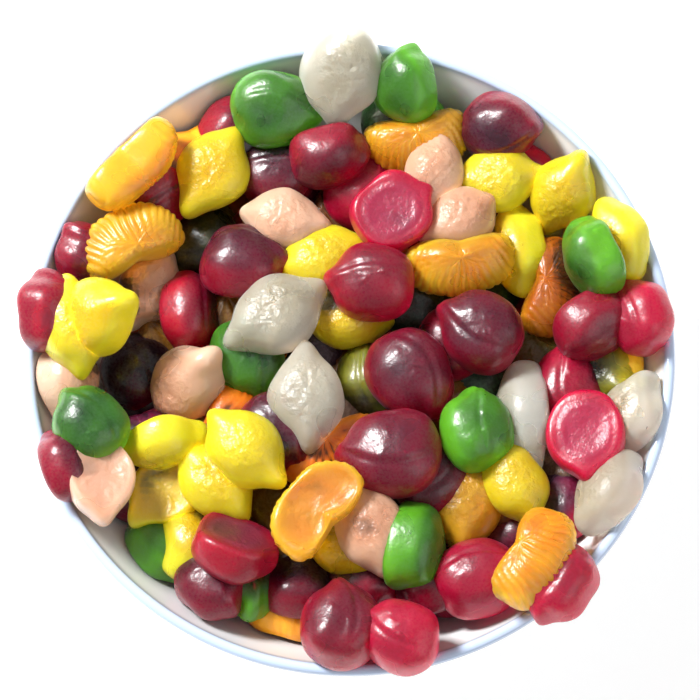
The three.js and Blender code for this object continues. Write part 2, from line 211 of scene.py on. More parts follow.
# %% [markdown]
# ## The bowl, turned and glazed
# The real bowl is glazed white porcelain with a slim rounded lip. It is turned here from one outline, the
# same as the solid's, with many more sides, so the lip has no corners. The glaze is white with a faint cool
# cast, slight unevenness in its gloss, and a low wave that bends reflections as real glaze does.

# %% Turn the bowl
BOWL_SIDES = 256
WALL_STEPS = 44
LIP_STEPS = 12
FILLET_STEPS = 5


def on_ball(grow, angle):
    radius = BALL_RADIUS + grow
    return radius * math.sin(angle), BALL_HEIGHT - radius * math.cos(angle)


def bowl_outline():
    lip_angle = math.asin(INNER_RADIUS / BALL_RADIUS)
    fillet_angle = math.asin((FOOT_RADIUS + FOOT_FILLET) / (BALL_RADIUS + WALL_AT_FOOT))
    points = [(0.0, 0.0), (FOOT_RADIUS - FOOT_EDGE, 0.0), (FOOT_RADIUS - 0.3 * FOOT_EDGE, 0.3 * FOOT_EDGE),
              (FOOT_RADIUS, FOOT_EDGE)]
    wall_start = np.array(on_ball(WALL_AT_FOOT, fillet_angle))
    foot_top = np.array([FOOT_RADIUS, FOOT_HEIGHT])
    bend = np.array([FOOT_RADIUS, 0.5 * (FOOT_HEIGHT + wall_start[1])])
    for step in range(FILLET_STEPS):
        t = step / FILLET_STEPS
        points.append(tuple((1 - t) ** 2 * foot_top + 2 * t * (1 - t) * bend + t * t * wall_start))
    for step in range(WALL_STEPS):
        share = step / WALL_STEPS
        wall = WALL_AT_FOOT + (WALL_AT_LIP - WALL_AT_FOOT) * share
        points.append(on_ball(wall, fillet_angle + (lip_angle - fillet_angle) * share))
    for step in range(LIP_STEPS + 1):
        turn = step / LIP_STEPS * math.pi
        points.append((RIM_RADIUS - LIP_RADIUS + LIP_RADIUS * math.cos(turn),
                       LIP_HEIGHT + LIP_RADIUS * math.sin(turn)))
    for step in range(1, WALL_STEPS):
        points.append(on_ball(0.0, lip_angle * (1 - step / WALL_STEPS)))
    points.append((0.0, FLOOR_THICKNESS))
    return points


def turned_mesh(name, outline, sides):
    """A closed body of revolution; the outline starts and ends on the axis."""
    inner = outline[1:-1]
    angles = np.arange(sides) * 2 * math.pi / sides
    rings = [np.stack([r * np.cos(angles), r * np.sin(angles), np.full(sides, z)], -1) for r, z in inner]
    points = np.concatenate([[[0, 0, outline[0][1]]], *rings, [[0, 0, outline[-1][1]]]]) * MM
    faces = []
    last = len(points) - 1
    for i in range(sides):
        j = (i + 1) % sides
        faces.append((0, 1 + j, 1 + i))
        for k in range(len(inner) - 1):
            a, b = 1 + k * sides, 1 + (k + 1) * sides
            faces.append((a + i, a + j, b + j, b + i))
        faces.append((last, last - sides + i, last - sides + j))
    mesh = bpy.data.meshes.new(name)
    mesh.from_pydata(points.tolist(), [], faces)
    mesh.update()
    mesh.shade_smooth()
    return mesh


bowl = bpy.data.objects.new("glazed_bowl", turned_mesh("glazed_bowl", bowl_outline(), BOWL_SIDES))
bpy.context.scene.collection.objects.link(bowl)
print("bowl outline of", len(bowl_outline()), "points, turned with", BOWL_SIDES, "sides")

# %% Glaze
GLAZE_SHADES = (208, 209, 210), (222, 223, 224)
LIP_SHADE = (172, 188, 212)  # bluish grey on the lip, darker than the rest of the glaze
LIP_BAND = (2.4, 0.6)  # how far under the top it begins and is full, in mm
GLAZE_GLOSS = (0.08, 0.2)

glaze, nodes, links, shader = new_finish("white_glaze")
place = add_node(nodes, "ShaderNodeTexCoord")
cloud = add_node(nodes, "ShaderNodeTexNoise", Scale=38.0, Detail=3.0)
links.new(place.outputs["Object"], cloud.inputs["Vector"])
white = ramp(nodes, [(0.3, plain(GLAZE_SHADES[0])), (0.7, plain(GLAZE_SHADES[1]))])
links.new(cloud.outputs["Fac"], white.inputs["Fac"])
split = add_node(nodes, "ShaderNodeSeparateXYZ")
links.new(place.outputs["Object"], split.inputs["Vector"])
near_lip = add_node(nodes, "ShaderNodeMapRange")
near_lip.inputs["From Min"].default_value = (BOWL_HEIGHT - LIP_BAND[0]) * MM
near_lip.inputs["From Max"].default_value = (BOWL_HEIGHT - LIP_BAND[1]) * MM
links.new(split.outputs["Z"], near_lip.inputs["Value"])
tinted = add_node(nodes, "ShaderNodeMix", data_type="RGBA")
links.new(near_lip.outputs["Result"], tinted.inputs["Factor"])
links.new(white.outputs["Color"], tinted.inputs["A"])
tinted.inputs["B"].default_value = (*plain(LIP_SHADE), 1.0)
links.new(tinted.outputs["Result"], shader.inputs["Base Color"])
gloss = add_node(nodes, "ShaderNodeMapRange")
gloss.inputs["To Min"].default_value, gloss.inputs["To Max"].default_value = GLAZE_GLOSS
links.new(cloud.outputs["Fac"], gloss.inputs["Value"])
links.new(gloss.outputs["Result"], shader.inputs["Roughness"])
wave = add_node(nodes, "ShaderNodeTexNoise", Scale=60.0, Detail=1.0)
links.new(place.outputs["Object"], wave.inputs["Vector"])
relief = add_node(nodes, "ShaderNodeBump", Strength=0.06, Distance=0.001)
links.new(wave.outputs["Fac"], relief.inputs["Height"])
links.new(relief.outputs["Normal"], shader.inputs["Normal"])
shader.inputs["Coat Weight"].default_value = 0.3
shader.inputs["Coat Roughness"].default_value = 0.05
bowl.data.materials.append(glaze)
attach(bowl, "root")
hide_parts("bowl")

# %% [markdown]
# ## The three moulds
# Gummies are poured as syrup into hollows pressed in starch, so each has a domed front with the mould's
# relief, a rounded edge, and a back that sank while it set: a puckered, dusty middle inside a raised rim.
# Each form is a set of rings round a middle. One formula gives how far the edge lies in each direction, and
# a stack of shares and heights carries the rings over the dome and round to the back.

# %% Mould measures
LEMON, PLUM, SEGMENT = "lemon", "plum", "segment"
MOULDS = {
    LEMON: dict(height=11.0, half_length=9.9, outer_half=8.5, inner_half=8.5,
                squareness=2.0, inner_squareness=2.0, nub=2.9, nub_width=0.26,
                nub_angles=(0.0, math.pi), hollow=0.0, hollow_width=1.0, crown=0.0),
    PLUM: dict(height=11.6, half_length=9.4, outer_half=8.7, inner_half=8.7,
               squareness=2.3, inner_squareness=2.3, nub=2.0, nub_width=0.22,
               nub_angles=(0.0,), hollow=0.0, hollow_width=1.0, crown=0.0),
    SEGMENT: dict(height=10.4, half_length=12.5, outer_half=8.6, inner_half=6.2,
                  squareness=2.2, inner_squareness=3.4, nub=0.0, nub_width=1.0,
                  nub_angles=(), hollow=2.6, hollow_width=0.8, crown=1.6),
}
EDGE_HEIGHT = 2.8
MIDDLE = 0.42  # where a form's own origin lies, as a share of its height
NUB_FALL = 2  # a nub is low: how fast it fades towards the top of the dome
DOME_SPREAD = 0.9
DOME_FULLNESS = 0.72
BACK_RINGS = [(0.985, 1.4), (0.93, 0.35), (0.84, 0.0), (0.70, 0.7), (0.45, 1.3), (0.0, 1.5)]


def ring_radius(mould, angle, share):
    """How far a ring lies from the middle; share is 1 at the edge, 0 at the top."""
    along, aside = np.cos(angle), np.sin(angle)
    half = np.where(aside < 0, mould["outer_half"], mould["inner_half"])
    power = np.where(aside < 0, mould["squareness"], mould["inner_squareness"])
    radius = (np.abs(along / mould["half_length"]) ** power + np.abs(aside / half) ** power) ** (-1 / power)
    for nub_angle in mould["nub_angles"]:
        off = np.arctan2(np.sin(angle - nub_angle), np.cos(angle - nub_angle))
        radius = radius + mould["nub"] * share ** NUB_FALL * np.exp(-(off / mould["nub_width"]) ** 2)
    from_inner = np.arctan2(along, aside)
    hollow = mould["hollow"] * np.exp(-(from_inner / mould["hollow_width"]) ** 2)
    return share * (radius - np.where(aside > 0, hollow, 0.0))


def dome_ring(mould, turn):
    share = math.sin(turn) ** DOME_SPREAD
    rise = max(math.cos(turn), 0.0) ** DOME_FULLNESS
    return share, EDGE_HEIGHT + (mould["height"] - EDGE_HEIGHT) * rise


def form_rings(kind, around, dome_steps, back):
    """Points of a sweet, ring by ring: top of the dome, edge, middle of the back."""
    mould = MOULDS[kind]
    angles = np.arange(around) * 2 * math.pi / around
    dome = [dome_ring(mould, step / dome_steps * math.pi / 2) for step in range(dome_steps + 1)]
    shares = dome + list(back)
    rings = []
    for k, (share, height) in enumerate(shares):
        shift = mould["crown"] * (1 - share) if k <= dome_steps else 0.0
        radius = ring_radius(mould, angles, share)
        rings.append(np.stack([radius * np.cos(angles), radius * np.sin(angles) + shift,
                               np.full(around, height - MIDDLE * mould["height"])], -1))
    return np.array(rings), np.array([s for s, _ in shares])


for kind, mould in MOULDS.items():
    long = 2 * mould["half_length"] + len(mould["nub_angles"]) * mould["nub"]
    print("a", kind, "is", round(long, 1), "mm long and", mould["height"], "mm thick")

# %% [markdown]
# ## How the sweets are laid
# The heap could be made by letting sweets fall at random, but then no sweet would lie where it does in the
# picture. So each one is written down as it is seen, in millimetres across the rim, and then slides along
# the line of sight until it rests on what lies below it. It keeps its place in the picture, and from any
# other side it still lies on its neighbours. The columns are kind, colour, across, away, heading, roll,
# lean against the wall, rise of the nub, and size.

# %% The layout, lowest first
UP, OVER = 0, 180
DEEPEST = 13
LAYERS = [
    (DEEPEST, [  # only parts of these show, deep in the gaps
        (SEGMENT, "amber", -36, 48, 20, UP, 45, 0, 1),
        (PLUM, "green", 12, 54, 20, UP, 45, 0, 1),
        (PLUM, "wine", 41, 43, -30, UP, 45, 0, 0.75),
        (SEGMENT, "orange", -27, 12, 80, UP, 0, 0, 1),
        (PLUM, "crimson", -14, 41, 100, UP, 0, 0, 1),
        (SEGMENT, "amber", -5, 32, 60, UP, 0, 0, 1),
        (PLUM, "crimson", -12, 21, 0, UP, 0, 0, 1),
        (PLUM, "green", 29, -6, 20, UP, 0, 0, 1),
        (SEGMENT, "orange", 60, -6, 80, UP, 48, 0, 1),
        (LEMON, "peach", 51, -28, 10, UP, 40, 0, 1),
        (PLUM, "purple", 49, -36, 80, UP, 48, 0, 1),
        (PLUM, "crimson", 38, -42, 40, UP, 40, 0, 1),
        (SEGMENT, "amber", 38, -36, 0, UP, 0, 0, 1),
        (SEGMENT, "orange", 22, -14, 110, UP, 0, 0, 1),
        (LEMON, "peach", -3, -19, 60, UP, 0, 0, 1),
        (SEGMENT, "amber", -5, -23, 20, UP, 0, 0, 1),
        (PLUM, "crimson", -26, -12, 20, UP, 0, 0, 1),
        (SEGMENT, "amber", -30, -19, 60, UP, 0, 0, 1),
        (SEGMENT, "orange", -45, 6, 100, UP, 0, 0, 1),
        (PLUM, "purple", -50, -31, 80, UP, 45, 0, 1),
        (PLUM, "purple", -47, -24, 80, UP, 0, 0, 1),
        (SEGMENT, "amber", -12, -61, -8, UP, 50, 0, 0.95),
        (PLUM, "purple", 26, -54, 10, UP, 48, 0, 1),
        (SEGMENT, "amber", 0, -50, 150, UP, 0, 0, 1),
    ]),
    (9, [  # low in the heap or against the wall
        (PLUM, "crimson", 24, 2, 60, UP, 0, 0, 1),
        (PLUM, "crimson", 3, -54, 30, UP, 30, 0, 1),
        (PLUM, "purple", 18, -53, 100, UP, 45, 0, 1),
        (PLUM, "purple", -27, 52, 60, UP, 45, 0, 1),
        (PLUM, "purple", -61.5, 22.5, 130, UP, 58, 0, 0.82),
        (PLUM, "crimson", -45, 38, 30, UP, 40, 0, 1),
        (PLUM, "olive", -34, 26, 200, UP, 0, 0, 1),
        (PLUM, "crimson", 3, 39, 60, UP, 0, 0, 1),
        (LEMON, "yellow", -6, 22, 20, UP, 0, 0, 1),
        (PLUM, "green", 15, 11, 160, UP, 0, 0, 1),
        (LEMON, "yellow", 44, -2, -20, UP, 0, 0, 1),
        (PLUM, "crimson", 51, -9, 90, UP, 0, 0, 1),
        (LEMON, "olive", 58, -4, -40, UP, 45, 0, 1),
        (LEMON, "orange", 27, -36, 85, UP, 0, 0, 1),
        (PLUM, "purple", 19, -30, 40, UP, 0, 0, 1),
        (PLUM, "olive", 5, -8, 100, UP, 0, 0, 1),
        (PLUM, "purple", -17, -19, -50, UP, 0, 0, 1),
        (LEMON, "peach", -65, -7, 95, UP, 55, 0, 0.93),
        (PLUM, "green", -43, -45, -60, UP, 48, 0, 0.9),
        (PLUM, "purple", -32, -54, -62, 40, 48, 0, 0.9),
        (PLUM, "green", -23, -54, -90, UP, 45, 0, 0.95),
        (LEMON, "yellow", -36, -45, -75, UP, 40, 0, 1),
        (SEGMENT, "orange", -15, -43, 120, UP, 0, 0, 1),
        (LEMON, "yellow", 0, -45, -20, UP, 0, 0, 1),
        (PLUM, "purple", -69.5, 9, 100, UP, 62, 0, 0.95),
        (PLUM, "purple", -64.5, -27, 112, UP, 62, 0, 0.85),
        (PLUM, "purple", -17, 44, 0, UP, 0, 0, 1),
        (PLUM, "purple", 35, 54, 0, UP, 42, 0, 0.95),
        (LEMON, "yellow", 63, 27, 110, UP, 50, 0, 0.85),
        (LEMON, "orange", 56, 21, 105, -50, 30, 0, 0.95),
        (SEGMENT, "amber", 47, 16, 80, UP, 0, 0, 0.95),
        (LEMON, "peach", -47, 15, 62, UP, 0, 0, 0.88),
        (PLUM, "purple", -49, -5, 120, UP, 0, 0, 1),
        (LEMON, "clear", 65, -15, 58, UP, 55, 0, 0.88),
        (LEMON, "clear", 59.5, -33, 55, UP, 50, 0, 0.9),
        (LEMON, "yellow", -42, -33, 228, OVER, 0, 0, 0.95),
        (PLUM, "purple", -11.5, -55, 90, UP, 45, 0, 0.95),
    ]),
    (4, [  # most of these show
        (SEGMENT, "orange", 16, 52, 12, 20, 0, 0, 1),
        (LEMON, "yellow", 35, 42, 5, UP, 10, 0, 0.95),
        (PLUM, "green", -18, 59, -8, UP, 15, 0, 1.08),
        (LEMON, "clear", -1.5, 68.5, 82, UP, 25, 0, 1.15),
        (PLUM, "green", 13, 65, 88, -40, 30, 0, 0.92),
        (PLUM, "crimson", 67.5, 8, 110, UP, 50, 0, 0.92),
        (SEGMENT, "orange", -51, 45.5, 47, 80, 15, 0, 1.04),
        (LEMON, "peach", -15, 32, -12, UP, 0, 0, 0.88),
        (PLUM, "wine", -37, 9, 95, 60, 0, 0, 0.93),
        (PLUM, "purple", -25, 22, -2, -40, 0, 0, 1.05),
        (LEMON, "yellow", -1, 9, -8, UP, 0, 0, 0.95),
        (PLUM, "green", -24, -1, -68, UP, 0, 0, 1),
        (LEMON, "yellow", -43, -22, 12, 80, 0, 0, 0.85),
        (LEMON, "yellow", 38, -31, -62, UP, 0, 0, 0.9),
        (PLUM, "crimson", 48, -54, -120, UP, 30, 0, 0.95),
        (PLUM, "green", 15, -47, 82, 75, 0, 0, 1.03),
        (PLUM, "crimson", 12, -66.5, 150, UP, 12, 0, 0.97),
        (LEMON, "yellow", -31, -31, -50, UP, 0, 0, 0.92),
        (LEMON, "peach", 5, -42, -66, UP, 0, 0, 0.97),
        (LEMON, "yellow", -32, 44, 59, UP, 0, 0, 1.02),
        (PLUM, "purple", -5, 47, 13, 70, 0, 0, 0.95),
        (LEMON, "peach", 20, 44, 80, UP, 0, 0, 0.85),
        (LEMON, "yellow", 50, 38, 60, UP, 0, 40, 0.9),
        (LEMON, "peach", 26, 32, 30, UP, 0, 0, 0.85),
        (PLUM, "crimson", 10, 33, 33, OVER, 0, 0, 1.03),
        (LEMON, "yellow", 39, 23, 97, -60, 0, 0, 0.93),
        (PLUM, "purple", 31, 5, 150, UP, 0, 0, 1.06),
        (LEMON, "peach", -38, -8, 40, UP, 0, 50, 1),
        (PLUM, "purple", 10, -24, 182, UP, 0, 0, 1.2),
        (LEMON, "clear", 40, -16, 90, -80, 0, 0, 1.08),
    ]),
    (0, [  # on top of the others
        (PLUM, "wine", -27, -47, -20, 130, 0, 0, 1),
        (SEGMENT, "orange", 26, 22, 9, 25, 0, 0, 1.02),
        (PLUM, "wine", 6, 17, 175, UP, 0, 0, 1.06),
        (LEMON, "clear", -17, 9, 32, UP, 0, 0, 1.07),
        (PLUM, "purple", 14, -5, -55, UP, 0, 0, 1.12),
        (LEMON, "clear", -10, -11, 92, UP, 0, 0, 1.07),
        (PLUM, "green", 30, -19, 97, 25, 0, 0, 0.96),
        (PLUM, "crimson", 55, -20, -88, OVER, 10, 0, 1.05),
        (LEMON, "yellow", -24, -23, -44, UP, 0, 0, 0.98),
        (SEGMENT, "orange", -7, -38, 50, OVER, 0, 0, 1.02),
        (PLUM, "crimson", 29, -53, 15, UP, 16, 0, 1.04),
        (PLUM, "wine", -2, -64, 93, UP, 20, 0, 1.05),
        (PLUM, "purple", 57, 6, 35, 70, 0, 0, 1),
        (SEGMENT, "orange", -51, 26, 206, UP, 10, 0, 1.03),
    ]),
    (-7, [  # piled up against the rim, over their neighbours
        (LEMON, "yellow", -64, 6, 101, UP, 25, 0, 1),
        (LEMON, "yellow", -59.5, 8, 15, UP, 0, 52, 1.05),
        (PLUM, "green", 57, 22, 110, -60, 20, 0, 0.95),
        (LEMON, "peach", -57.5, -30, 95, OVER, 12, 0, 0.95),
        (PLUM, "green", -60, -17.5, 128, UP, 12, 0, 0.96),
    ]),
    (-10, [  # on top of the sweets at the rim
        (SEGMENT, "orange", 42, -48.5, 62, UP, 24, 0, 1),
    ]),
]
print(sum(len(sweets) for _, sweets in LAYERS), "sweets laid by eye")

# %% [markdown]
# ## The ground they fall on
# A square grid remembers how high the heap has grown over each spot. It starts as the bowl's inside with a
# low core in it. A sweet stops where a fifth of its underside has pressed into what is below, because the
# real ones are soft, but it always stays clear of the hard wall and lip.

# %% Ground and rest height
HEAP_RISE, HEAP_FALL, HEAP_REACH = 9.0, 13.0, 66.0
CORE_SINK, CORE_FALL, CORE_GAP = 17.0, 9.0, 0.5
SWEET_GAP, GAP_REACH, PRESS_IN = 0.5, 0.2, 0.2
GROUND_CELL, GROUND_HALF = 1.5, 84.0
GROUND_COUNT = round(2 * GROUND_HALF / GROUND_CELL)
NOWHERE = -50.0
SETTLE_ROUNDS = 4
TRIAL_DETAIL = (48, 9)  # points round and rings of the plain form that is tried for rest


def bowl_height(radius):
    inside = BALL_HEIGHT - np.sqrt(BALL_RADIUS ** 2 - np.minimum(radius, INNER_RADIUS) ** 2)
    off = radius - (RIM_RADIUS - LIP_RADIUS)
    lip = LIP_HEIGHT + np.sqrt(np.maximum(LIP_RADIUS ** 2 - off ** 2, 0.0))
    return np.where(radius > RIM_RADIUS, NOWHERE, np.where(radius > INNER_RADIUS, lip, inside))


def core_height(radius):
    return BOWL_HEIGHT - CORE_SINK - CORE_FALL * (radius / HEAP_REACH) ** 2


cell_middles = (np.arange(GROUND_COUNT) + 0.5) * GROUND_CELL - GROUND_HALF
grid_x, grid_y = np.meshgrid(cell_middles, cell_middles, indexing="ij")
grid_radius = np.hypot(grid_x, grid_y)
ground = np.maximum(core_height(grid_radius),
                    np.where(grid_radius < INNER_RADIUS, bowl_height(grid_radius), NOWHERE))


def ground_cells(x, y):
    column = np.clip(np.floor((x + GROUND_HALF) / GROUND_CELL).astype(int), 0, GROUND_COUNT - 1)
    row = np.clip(np.floor((y + GROUND_HALF) / GROUND_CELL).astype(int), 0, GROUND_COUNT - 1)
    return column, row


def rest_height(points, x, y, under):
    needs = np.sort(ground[ground_cells(points[:, 0] + x, points[:, 1] + y)] - points[:, 2])
    soft = needs[math.floor(len(needs) * (1 - PRESS_IN))]
    outline = BOWL_HEIGHT + HEAP_RISE - HEAP_FALL * (x * x + y * y) / HEAP_REACH ** 2 - under
    radius = np.hypot(points[:, 0] + x, points[:, 1] + y)
    clear = (bowl_height(radius + GAP_REACH) - points[:, 2] + SWEET_GAP).max()
    return max(min(soft, outline), clear)


# %% Let every sweet come to rest
def turn_of(across, away, heading, roll, lean, rise):
    turn = Matrix.Rotation(math.radians(heading), 3, "Z")
    turn = turn @ Matrix.Rotation(math.radians(-rise), 3, "Y") @ Matrix.Rotation(math.radians(roll), 3, "X")
    tangent = Vector((away, -across, 0.0)).normalized()
    return np.array(Matrix.Rotation(math.radians(lean), 3, tangent) @ turn)


def settle(row, under):
    kind, colour, across, away, heading, roll, lean, rise, size = row
    turn = turn_of(across, away, heading, roll, lean, rise) * size
    rings, _ = form_rings(kind, *TRIAL_DETAIL, BACK_RINGS)
    points = rings.reshape(-1, 3) @ turn.T
    x, y, z = across, away, BOWL_HEIGHT
    for _ in range(SETTLE_ROUNDS):
        reach = (EYE[2] - z) / (EYE[2] - BOWL_HEIGHT)
        x = EYE[0] + (across - EYE[0]) * reach
        y = EYE[1] + (away - EYE[1]) * reach
        z = rest_height(points, x, y, under)
    np.maximum.at(ground, ground_cells(points[:, 0] + x, points[:, 1] + y), points[:, 2] + z)
    return kind, colour, turn, np.array([x, y, z]), under


resting = [settle(row, under) for under, sweets in LAYERS for row in sweets]
print("the heap reaches", round(float(ground.max()), 1), "mm, the rim", BOWL_HEIGHT)

# %% [markdown]
# ## Relief: peel, crease, ribs and puckers
# A plain dome looks like a toy. The moulds leave pimples and pits on the lemons, a crease and a few pimples
# on the plums and ribs on the segments, and the backs wrinkle as they dry. The relief is pushed out of the
# ring points along their normals, with seeded waves so that no two sweets are alike.


# %% Waves and relief
def waves(points, length, rng, count=16):
    """Seeded unevenness of about one, with bumps about this many millimetres apart."""
    direction = rng.normal(size=(3, count))
    direction /= np.linalg.norm(direction, axis=0)
    pitch = 2 * math.pi / (length * rng.uniform(0.7, 1.4, count))
    phase = rng.uniform(0, 2 * math.pi, count)
    return np.sin(points @ (direction * pitch) + phase).sum(-1) / math.sqrt(count / 2)


def smooth_step(low, high, value):
    t = np.clip((value - low) / (high - low), 0.0, 1.0)
    return t * t * (3 - 2 * t)


def bumps(p, rng, count, reach, radius, rise):
    """Round pimples, or pits where the rise is negative, strewn over the middle of the dome."""
    push = np.zeros(p.shape[:-1])
    for _ in range(count):
        angle = rng.uniform(0, 2 * math.pi)
        middle = reach * math.sqrt(rng.uniform(0, 1)) * np.array([math.cos(angle), 0.8 * math.sin(angle)])
        off = np.hypot(p[..., 0] - middle[0], p[..., 1] - middle[1]) / (radius * rng.uniform(0.7, 1.3))
        push += rise * rng.uniform(0.5, 1.0) * np.exp(-off ** 2)
    return push


# %% Relief of each mould
# How many, how far from the middle, how wide and how high, in mm.
PEEL_PIMPLES = (12, 5.8, 0.8, 0.16)
PEEL_PITS = (22, 5.6, 0.75, -0.15)
PEEL_WAVE, PEEL_WAVE_LENGTH = 0.05, 2.6


def lemon_relief(p, share, front, rng):
    peel = bumps(p, rng, *PEEL_PIMPLES) + bumps(p, rng, *PEEL_PITS)
    middle = smooth_step(0.75, 0.45, share)
    return front * (peel + PEEL_WAVE * middle * waves(p, PEEL_WAVE_LENGTH, rng))


CREASE_SIDE = (2.2, 4.4)  # how far beside the middle a plum's crease may run
CREASE_DEPTH, CREASE_WIDTH = -0.3, 0.6
CREASE_LIP, CREASE_LIP_OFF, CREASE_LIP_WIDTH = 0.16, 1.2, 0.9
CREASE_REACH = 9.8
PLUM_PIMPLES = (4.0, 0.6, 0.2)  # their number is drawn for each plum
PLUM_WAVE, PLUM_WAVE_LENGTH = 0.05, 5.0


def plum_relief(p, share, front, rng):
    side = rng.uniform(*CREASE_SIDE) * rng.choice([-1, 1])
    curve = side * (1 - (p[..., 0] / CREASE_REACH) ** 2)
    off = (p[..., 1] - curve) * math.copysign(1, side)
    along = smooth_step(-8.0, -4.0, p[..., 0])
    crease = CREASE_DEPTH * np.exp(-(off / CREASE_WIDTH) ** 2) * along
    lip = CREASE_LIP * np.exp(-((off + CREASE_LIP_OFF) / CREASE_LIP_WIDTH) ** 2) * along
    pimples = bumps(p, rng, rng.integers(3, 9), *PLUM_PIMPLES)
    return front * (crease + lip + pimples + PLUM_WAVE * waves(p, PLUM_WAVE_LENGTH, rng, 12))


RIB_ANGLE = math.radians(4.6)
RIB_MIDDLE = 17.0  # the ribs fan out from this point, well beyond the inner edge
RIB_START = (13.6, 15.6)  # how far from there they begin and reach full depth
RIB_DEPTH = 0.62
RIB_ROUNDNESS, RIB_MEAN = 0.55, 0.75  # broad ridges with narrow grooves between them
RIB_WANDER, RIB_WANDER_LENGTH = 0.12, 7.0
NOTCH_FILL, NOTCH_WIDTH = 0.9, 0.5  # softens the corner of the hollowed inner side


def segment_relief(p, share, front, rng):
    fan = np.arctan2(p[..., 0], RIB_MIDDLE - p[..., 1])
    far = np.hypot(p[..., 0], RIB_MIDDLE - p[..., 1])
    fan = fan + RIB_WANDER * RIB_ANGLE * waves(p, RIB_WANDER_LENGTH, rng, 8)
    rib = np.abs(np.cos(fan * math.pi / RIB_ANGLE)) ** RIB_ROUNDNESS - RIB_MEAN
    notch = NOTCH_FILL * np.exp(-(np.arctan2(p[..., 0], p[..., 1]) / NOTCH_WIDTH) ** 2)
    notch = notch * smooth_step(0.3, 0.9, share)
    return notch + rib * RIB_DEPTH * smooth_step(*RIB_START, far) * smooth_step(-0.1, 0.5, front)


RELIEF = {LEMON: lemon_relief, PLUM: plum_relief, SEGMENT: segment_relief}
print("relief ready for", ", ".join(RELIEF))

# %% A smooth back and the normals
CURVE_POINTS = 200
HALF_WIDTH = 9.0  # about how wide a sweet is from its middle to its edge


def smooth_back(steps):
    """The back's few rings drawn out into a smooth curve of many, evenly spaced along it."""
    marks = np.array([(1.0, EDGE_HEIGHT)] + BACK_RINGS)
    curve = []
    for t in np.linspace(0, len(marks) - 1, CURVE_POINTS):
        k = min(int(t), len(marks) - 2)
        p0, p1, p2, p3 = marks[max(k - 1, 0)], marks[k], marks[k + 1], marks[min(k + 2, len(marks) - 1)]
        f = t - k
        curve.append(0.5 * (2 * p1 + (p2 - p0) * f + (2 * p0 - 5 * p1 + 4 * p2 - p3) * f ** 2
                            + (3 * p1 - p0 - 3 * p2 + p3) * f ** 3))
    curve[-1] = marks[-1]
    curve = np.array(curve)
    step_length = np.hypot(np.diff(curve[:, 0]) * HALF_WIDTH, np.diff(curve[:, 1]))
    along = np.concatenate([[0.0], np.cumsum(step_length)])
    at = np.linspace(0, along[-1], steps + 1)[1:]
    shares = np.maximum(np.interp(at, along, curve[:, 0]), 0.0)
    return list(zip(shares.tolist(), np.interp(at, along, curve[:, 1]).tolist()))


def outward(rings):
    """Unit normals of the rings, pointing out of the sweet."""
    round_ring = np.roll(rings, -1, 1) - np.roll(rings, 1, 1)
    down = np.gradient(rings, axis=0)
    normal = np.cross(down, round_ring)
    normal[0], normal[-1] = (0, 0, 1), (0, 0, -1)
    length = np.linalg.norm(normal, axis=-1, keepdims=True)
    return normal / np.maximum(length, 1e-9)


# %% The whole form
BACK_FILL = {LEMON: 0.5, PLUM: 1.05, SEGMENT: 0.0}  # how much less the back has sunk than at most, in mm
PUCKER = {LEMON: 0.09, PLUM: 0.02, SEGMENT: 0.06}  # how high its wrinkles are, in mm
BACK_SHADE = 0.3  # how much deeper the colour is in the middle of a back
# painted shade in the grooves and dents of the relief
GROOVE_PAINTED_SHADE = {LEMON: 0.3, PLUM: 0.3, SEGMENT: 0.8}  # how much deeper the colour is, for a groove of 1 mm
UNEVEN, UNEVEN_LENGTH = 0.25, 12.0  # how far a form is from its mould, in mm
PUCKER_LENGTH, PUCKER_TWIST, TWIST_LENGTH = 3.4, 0.8, 5.0
BACK_DUST = 0.6
# the bright rim itself is a painted glow
THIN_FADE, RIM_PAINTED_GLOW = 0.35, 0.75  # shares of the slow fade to the edge and of the bright rim itself


def make_form(kind, around, dome_steps, back_steps, rng):
    rings, share = form_rings(kind, around, dome_steps, smooth_back(back_steps))
    share = share[:, None] * np.ones(around)
    normal = outward(rings)
    front = smooth_step(-0.35, 0.35, normal[..., 2])
    push = RELIEF[kind](rings, share, front, rng)
    push = push + UNEVEN * waves(rings, UNEVEN_LENGTH, rng, 8)
    twisted = rings + PUCKER_TWIST * waves(rings, TWIST_LENGTH, rng)[..., None]
    pucker = waves(twisted, PUCKER_LENGTH, rng)
    push = push + (1 - front) * smooth_step(0.84, 0.6, share) * (BACK_FILL[kind] + PUCKER[kind] * pucker)
    rings = rings + normal * push[..., None]
    rings[0], rings[-1] = rings[0].mean(0), rings[-1].mean(0)
    dusty = BACK_DUST * (1 - front) * smooth_step(0.85, 0.6, share)
    pitted = front * smooth_step(0.78, 0.5, share) * (kind == LEMON) + 0.5 * dusty
    # The colour is lighter where the gel thins towards the edge, with a painted glow along the rim itself.
    thin = THIN_FADE * smooth_step(0.3, 1.0, share) + RIM_PAINTED_GLOW * smooth_step(0.86, 1.0, share)
    # painted shade: the colour is darker in grooves and dents
    thin = thin + np.minimum(GROOVE_PAINTED_SHADE[kind] * push, 0)
    thin = thin - BACK_SHADE * (1 - front) * smooth_step(0.9, 0.6, share)
    return rings, dusty, pitted, thin


print("backs sunk less than at most by", BACK_FILL, "mm")

# %% [markdown]
# ## Filling up the bowl
# Real bowls are full to the bottom. Only what can be glimpsed through the gaps is worth making, so a seeded
# scatter of plainer sweets is bedded about halfway into the core, under the lowest of those listed.
# The bowl narrows downwards, so a sweet near its wall is moved in towards the middle until it is clear:
# otherwise it would come out through the bowl's outside, where the picture doesn't show it.

# %% Bedded sweets
rng = np.random.default_rng(11)
BEDDED = 46
BEDDED_REACH = 51.0  # how far from the axis the outermost lies
BEDDED_GAP = 1.2  # between a bedded form and the wall, before its relief
BEDDED_TURN, BEDDED_TILT, BEDDED_SINK = 25, 15, 0.5
BEDDED_COLOURS = ("purple", "crimson", "orange", "amber", "purple", "crimson", "green", "yellow")


